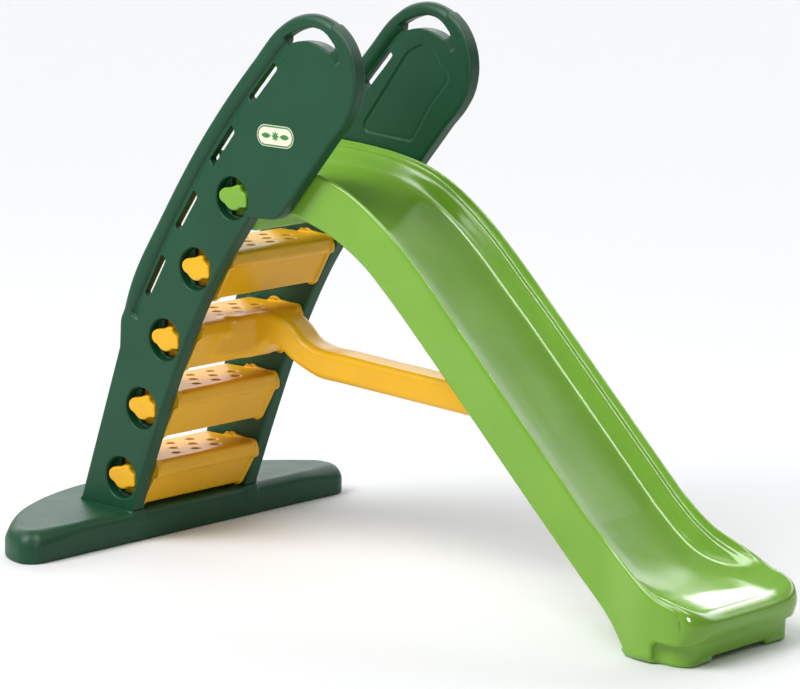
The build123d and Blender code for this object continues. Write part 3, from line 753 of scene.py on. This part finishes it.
def sky_math(operation, first, second):
    """Two values of the sky put together."""
    node = sky_nodes.new("ShaderNodeMath")
    node.operation = operation
    for socket, value in zip(node.inputs, (first, second)):
        if isinstance(value, float):
            socket.default_value = value
        else:
            sky_links.new(value, socket)
    return node.outputs["Value"]


def sky_along(axis):
    """How far a direction of the sky points along an axis."""
    node = sky_nodes.new("ShaderNodeVectorMath")
    node.operation = "DOT_PRODUCT"
    sky_links.new(direction, node.inputs[0])
    node.inputs[1].default_value = axis
    return node.outputs["Value"]


# The studio: a soft grey dome with a bright softbox low behind the slide. The dome is dimmer
# beyond the nose and under the softbox.
SOFTBOX_STRENGTH = 3.2
height_in_sky = sky_along((0, 0, 1))
low_edge = sky_step(height_in_sky, 0.25, 0.31, 0.0, 1.0)
high_edge = sky_step(height_in_sky, 0.57, 0.64, 1.0, 0.0)
behind = sky_step(sky_along((-0.45, 0.893, 0)), 0.4, 0.6, 0.0, 1.0)
softbox = sky_math("MULTIPLY", sky_math("MULTIPLY", low_edge, high_edge), behind)
dome = sky_step(height_in_sky, 0.0, 1.0, 0.46, 0.6)
under_box = sky_math("MULTIPLY", sky_math("SUBTRACT", 1.0, low_edge), behind)
dome = sky_math("SUBTRACT", dome, sky_math("MULTIPLY", under_box, 0.36))
beyond = sky_step(sky_along((1, 0, 0)), 0.0, 0.8, 1.0, 0.35)
dome = sky_math("MULTIPLY", dome, beyond)
strength = sky_math("ADD", dome, sky_math("MULTIPLY", softbox, SOFTBOX_STRENGTH))
sky_links.new(strength, sky_nodes["Background"].inputs["Strength"])
sky_nodes["Background"].inputs["Color"].default_value = (0.98, 0.99, 1.0, 1)


def lamp(name, kind, place, aim, power, size):
    """A soft studio light at a place in metres, turned to a point."""
    light = bpy.data.lights.new(name, kind)
    light.energy = power
    if kind == "AREA":
        light.shape = "RECTANGLE"
        light.size, light.size_y = size
    else:
        light.angle = size
    holder = bpy.data.objects.new(name, light)
    holder.location = place
    holder.rotation_euler = (Vector(aim) - Vector(place)).to_track_quat("-Z", "Y").to_euler()
    bpy.context.scene.collection.objects.link(holder)
    return holder


lamp("soft_sun", "SUN", (-1.0, -3.0, 4.5), (0, 0, 0), 1.6, math.radians(36))
lamp("high_key", "AREA", (-1.6, -3.6, 4.2), (-0.3, 0, 0.9), 100, (2.4, 2.4))
# A small box before the nose, seen only as a glint.
small_box = lamp("small_box", "AREA", (4.4, -2.1, 1.9), (1.1, 0, 0.2), 60, (0.45, 0.45))
small_box.visible_diffuse = False
# A long bright box behind the slide, seen only in the chute's shine, and one above seen in every shine.
long_box = lamp("long_box", "AREA", (-4.6, 5.2, 3.5), (0.2, 0, 0.5), 150, (5.0, 0.35))
long_box.visible_diffuse = False
top_box = lamp("top_box", "AREA", (1.9, 0, 4.6), (0.6, 0, 0.6), 190, (1.7, 3.4))
top_box.visible_diffuse = False
shining = bpy.data.collections.new("shining")
shining.objects.link(chute)
long_box.light_linking.receiver_collection = shining

CAMERA_PLACE = (6.765, -7.581, 2.575)
CAMERA_LENS = 176.9
azimuth, elevation, roll = math.radians(41.85), math.radians(10.85), math.radians(0.66)
right = Vector((math.cos(azimuth), math.sin(azimuth), 0))
level = math.cos(elevation)
back = Vector((math.sin(azimuth) * level, -math.cos(azimuth) * level, math.sin(elevation)))
up = back.cross(right)
turned_right = right * math.cos(roll) + up * math.sin(roll)
turned_up = up * math.cos(roll) - right * math.sin(roll)
camera = bpy.data.objects.new("camera", bpy.data.cameras.new("camera"))
camera.data.sensor_fit = "HORIZONTAL"
camera.data.sensor_width = 36.0
camera.data.lens = CAMERA_LENS
camera.data.clip_end = 300.0
camera.matrix_world = Matrix.Translation(Vector(CAMERA_PLACE)) @ Matrix(
    (turned_right, turned_up, back)
).transposed().to_4x4()
bpy.context.scene.collection.objects.link(camera)
bpy.context.scene.camera = camera
bpy.context.scene.view_settings.view_transform = "Standard"
